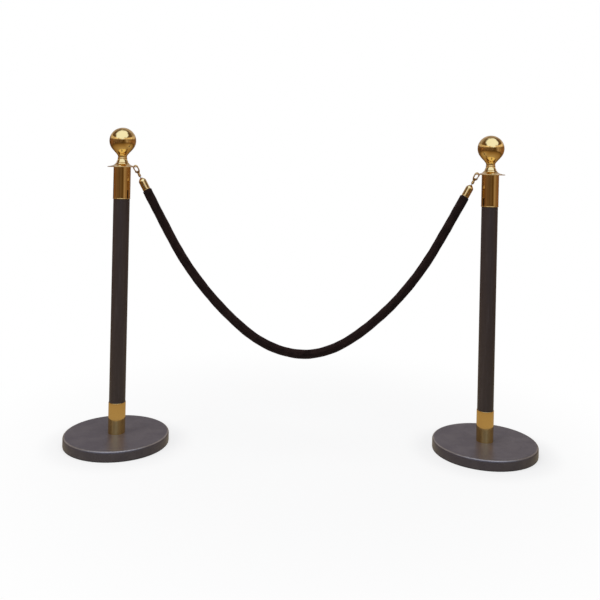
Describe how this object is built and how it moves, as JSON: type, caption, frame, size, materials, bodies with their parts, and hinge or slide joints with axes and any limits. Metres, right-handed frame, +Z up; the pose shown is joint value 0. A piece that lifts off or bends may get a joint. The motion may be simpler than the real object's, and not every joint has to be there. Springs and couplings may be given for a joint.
{
  "type": "rope barrier set",
  "caption": "Rope barrier: ball-top posts with polished brass fittings on round weighted bases, joined by a hanging velvet rope with sprung snap hooks.",
  "frame": {"origin": "on the floor, midway between the two posts", "axes": "+X from the left post to the right post, +Z up, the front faces -Y"},
  "size_m": [1.498, 0.328, 1],
  "materials": {
    "floor_rubber": "matt moulded rubber",
    "cast_iron": "rough casting, black primer",
    "base_paint": "dark warm grey satin powder coat",
    "zinc_steel": "bright zinc plate",
    "post_paint": "charcoal brown satin powder coat",
    "polished_brass": "mirror polished and lacquered",
    "hook_brass": "cast brass, polished, lightly worn",
    "spring_bronze": "spring bronze strip",
    "velvet": "near black dark brown velvet pile",
    "cotton_core": "twisted cotton core"
  },
  "bodies": {
    "posts": {"left_floor_ring": "floor_rubber", "left_base_weight": "cast_iron", "left_base_cover": "base_paint", "left_base_washer": "zinc_steel", "left_lock_washer": "zinc_steel", "left_base_bolt": "zinc_steel", "left_bottom_plug": "zinc_steel", "left_post_tube": "post_paint", "left_lower_sleeve": "polished_brass", "left_upper_sleeve": "polished_brass", "left_top_plug": "zinc_steel", "left_hook_plate": "polished_brass", "left_neck_cone": "polished_brass", "left_neck_ring": "polished_brass", "left_ball_finial": "polished_brass", "left_ball_bush": "zinc_steel", "left_finial_stud": "zinc_steel", "right_floor_ring": "floor_rubber", "right_base_weight": "cast_iron", "right_base_cover": "base_paint", "right_base_washer": "zinc_steel", "right_lock_washer": "zinc_steel", "right_base_bolt": "zinc_steel", "right_bottom_plug": "zinc_steel", "right_post_tube": "post_paint", "right_lower_sleeve": "polished_brass", "right_upper_sleeve": "polished_brass", "right_top_plug": "zinc_steel", "right_hook_plate": "polished_brass", "right_neck_cone": "polished_brass", "right_neck_ring": "polished_brass", "right_ball_finial": "polished_brass", "right_ball_bush": "zinc_steel", "right_finial_stud": "zinc_steel"},
    "rope": {"rope_cover": "velvet", "rope_core": "cotton_core", "left_ferrule": "polished_brass", "left_ferrule_pin": "polished_brass", "left_swivel_stem": "polished_brass", "right_ferrule": "polished_brass", "right_ferrule_pin": "polished_brass", "right_swivel_stem": "polished_brass"},
    "left_hook": {"left_hook_body": "hook_brass", "left_gate_pin": "zinc_steel", "left_gate_spring": "spring_bronze"},
    "left_gate": {"left_hook_gate": "hook_brass"},
    "right_hook": {"right_hook_body": "hook_brass", "right_gate_pin": "zinc_steel", "right_gate_spring": "spring_bronze"},
    "right_gate": {"right_hook_gate": "hook_brass"}
  },
  "joints": [
    {"name": "rope_swing", "type": "hinge", "parent": "posts", "child": "rope", "pos_m": [0, 0, 0.88052], "axis": [1, 0, 0], "range_deg": [-25, 25]},
    {"name": "left_hook_swivel", "type": "hinge", "parent": "rope", "child": "left_hook", "pos_m": [-0.54266, 0, 0.87432], "axis": [-0.4695, 0, 0.8829], "range_deg": [-4, 4]},
    {"name": "left_gate_hinge", "type": "hinge", "parent": "left_hook", "child": "left_gate", "pos_m": [-0.54043, 0, 0.86033], "axis": [0, 1, 0], "range_deg": [0, 35], "stiffness_Nm_per_rad": 0.04, "springref_deg": -14.32, "deforming": ["left_gate_spring"]},
    {"name": "right_hook_swivel", "type": "hinge", "parent": "rope", "child": "right_hook", "pos_m": [0.54266, 0, 0.87432], "axis": [0.4695, 0, 0.8829], "range_deg": [-4, 4]},
    {"name": "right_gate_hinge", "type": "hinge", "parent": "right_hook", "child": "right_gate", "pos_m": [0.54043, 0, 0.86033], "axis": [0, -1, 0], "range_deg": [0, 35], "stiffness_Nm_per_rad": 0.04, "springref_deg": -14.32, "deforming": ["right_gate_spring"]}
  ]
}
